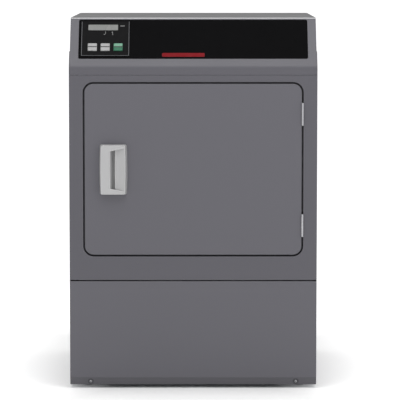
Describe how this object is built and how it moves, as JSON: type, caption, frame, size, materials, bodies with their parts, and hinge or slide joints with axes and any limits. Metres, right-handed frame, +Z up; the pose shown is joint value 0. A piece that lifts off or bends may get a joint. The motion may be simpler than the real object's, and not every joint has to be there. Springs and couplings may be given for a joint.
{
  "type": "clothes dryer",
  "caption": "Front-loading clothes dryer with a sloped black control console, keys, swing door, recessed pull, drum, lint filter, belt drive, blower and rear exhaust collar",
  "frame": {"origin": "centre of the footprint, on the floor under the levelling feet", "axes": "+X to the right seen from the front, -Y out of the door side, +Z up"},
  "size_m": [0.683, 0.711, 1.025],
  "materials": {
    "grey_paint": "satin, fine orange peel",
    "galvanised_steel": "spangled zinc",
    "black_fascia": "smooth, low gloss",
    "display_glass": "satin",
    "pale_key": "fine texture",
    "green_key": "fine texture",
    "silver_pull": "satin metallic",
    "plated_steel": "plated",
    "black_rubber": "matt",
    "grey_felt": "pressed wool",
    "drum_zinc": "satin zinc",
    "grey_moulding": "fine texture",
    "black_moulding": "fine texture",
    "white_liner": "baked enamel",
    "board_green": "solder mask",
    "filter_mesh": "woven monofilament",
    "motor_black": "semi-gloss",
    "heater_alloy": "heat tinted"
  },
  "bodies": {
    "cabinet": {"base_pan": "galvanised_steel", "blower_housing": "black_moulding", "console_fascia": "black_fascia", "console_trim": "grey_paint", "control_board": "board_green", "control_module": "black_fascia", "display_window": "display_glass", "door_catch": "galvanised_steel", "door_switch_body": "black_moulding", "drive_belt": "black_rubber", "exhaust_elbow": "galvanised_steel", "exhaust_pipe": "galvanised_steel", "frame_hinge_lower": "plated_steel", "frame_hinge_upper": "plated_steel", "front_bulkhead": "galvanised_steel", "front_felt_seal": "grey_felt", "front_panel": "grey_paint", "heater_duct": "galvanised_steel", "heater_element": "heater_alloy", "left_side_panel": "grey_paint", "lint_duct": "galvanised_steel", "lower_access_panel": "grey_paint", "motor_body": "motor_black", "motor_mount": "galvanised_steel", "rear_access_cover": "galvanised_steel", "rear_bulkhead": "galvanised_steel", "rear_felt_seal": "grey_felt", "rear_panel": "galvanised_steel", "right_side_panel": "grey_paint", "terminal_cover": "galvanised_steel", "top_panel": "grey_paint", "wiring_harness": "black_moulding"},
    "door": {"door_outer_panel": "grey_paint", "door_inner_liner": "white_liner", "door_gasket": "black_rubber", "door_pull": "silver_pull", "door_strike": "plated_steel", "door_hinge_upper": "plated_steel", "door_hinge_lower": "plated_steel"},
    "drum": {"drum_shell": "drum_zinc", "drum_baffle_1": "grey_moulding", "drum_baffle_2": "grey_moulding", "drum_baffle_3": "grey_moulding"},
    "rotor": {"motor_shaft": "plated_steel", "motor_pulley": "plated_steel", "blower_wheel": "black_moulding"},
    "tension_arm": {"idler_arm": "galvanised_steel"},
    "tension_wheel": {"idler_pulley": "black_moulding"},
    "roller_left": {"drum_roller_left": "black_rubber"},
    "roller_right": {"drum_roller_right": "black_rubber"},
    "filter": {"lint_filter_frame": "grey_moulding", "lint_screen": "filter_mesh"},
    "button_1": {"key_1": "pale_key"},
    "button_2": {"key_2": "pale_key"},
    "button_3": {"key_3": "green_key"},
    "plunger": {"door_switch_plunger": "black_moulding"},
    "leveller_front_left": {"foot_front_left": "plated_steel"},
    "leveller_front_right": {"foot_front_right": "plated_steel"},
    "leveller_rear_left": {"foot_rear_left": "plated_steel"},
    "leveller_rear_right": {"foot_rear_right": "plated_steel"}
  },
  "joints": [
    {"name": "door_swing", "type": "hinge", "parent": "cabinet", "child": "door", "pos_m": [0.3011, -0.342, 0.6095], "axis": [0, 0, 1], "range_deg": [0, 175]},
    {"name": "drum_spin", "type": "hinge", "parent": "cabinet", "child": "drum", "pos_m": [0, 0.0045, 0.6], "axis": [0, 1, 0], "continuous": true},
    {"name": "rotor_spin", "type": "hinge", "parent": "cabinet", "child": "rotor", "pos_m": [0.15, -0.1, 0.14], "axis": [0, 1, 0], "continuous": true},
    {"name": "tension_swing", "type": "hinge", "parent": "cabinet", "child": "tension_arm", "pos_m": [0.112, -0.0115, 0.062], "axis": [0, -1, 0], "range_deg": [0, 12], "stiffness_Nm_per_rad": 2, "springref_deg": -28.65},
    {"name": "tension_wheel_spin", "type": "hinge", "parent": "tension_arm", "child": "tension_wheel", "pos_m": [0.04713, -0.0205, 0.16311], "axis": [0, 1, 0], "continuous": true},
    {"name": "roller_left_spin", "type": "hinge", "parent": "cabinet", "child": "roller_left", "pos_m": [-0.19989, 0.2605, 0.31453], "axis": [0, 1, 0], "continuous": true},
    {"name": "roller_right_spin", "type": "hinge", "parent": "cabinet", "child": "roller_right", "pos_m": [0.19989, 0.2605, 0.31453], "axis": [0, 1, 0], "continuous": true},
    {"name": "filter_lift", "type": "slide", "parent": "cabinet", "child": "filter", "axis": [0, 0, 1], "range_m": [0, 0.18]},
    {"name": "button_1_press", "type": "slide", "parent": "cabinet", "child": "button_1", "axis": [0, 0.8261, -0.5635], "range_m": [0, 0.0012], "stiffness_N_per_m": 300, "springref_m": -0.001},
    {"name": "button_2_press", "type": "slide", "parent": "cabinet", "child": "button_2", "axis": [0, 0.8261, -0.5635], "range_m": [0, 0.0012], "stiffness_N_per_m": 300, "springref_m": -0.001},
    {"name": "button_3_press", "type": "slide", "parent": "cabinet", "child": "button_3", "axis": [0, 0.8261, -0.5635], "range_m": [0, 0.0012], "stiffness_N_per_m": 300, "springref_m": -0.001},
    {"name": "plunger_press", "type": "slide", "parent": "cabinet", "child": "plunger", "axis": [0, 1, 0], "range_m": [0, 0.003], "stiffness_N_per_m": 200, "springref_m": -0.003},
    {"name": "leveller_front_left_reach", "type": "slide", "parent": "cabinet", "child": "leveller_front_left", "axis": [0, 0, -1], "range_m": [0, 0.025]},
    {"name": "leveller_front_right_reach", "type": "slide", "parent": "cabinet", "child": "leveller_front_right", "axis": [0, 0, -1], "range_m": [0, 0.025]},
    {"name": "leveller_rear_left_reach", "type": "slide", "parent": "cabinet", "child": "leveller_rear_left", "axis": [0, 0, -1], "range_m": [0, 0.025]},
    {"name": "leveller_rear_right_reach", "type": "slide", "parent": "cabinet", "child": "leveller_rear_right", "axis": [0, 0, -1], "range_m": [0, 0.025]}
  ],
  "couplings": [
    {"joint": "rotor_spin", "follows": "drum_spin", "ratio": 28.026},
    {"joint": "tension_wheel_spin", "follows": "drum_spin", "ratio": -15.111},
    {"joint": "roller_left_spin", "follows": "drum_spin", "ratio": -14.827},
    {"joint": "roller_right_spin", "follows": "drum_spin", "ratio": -14.827}
  ]
}
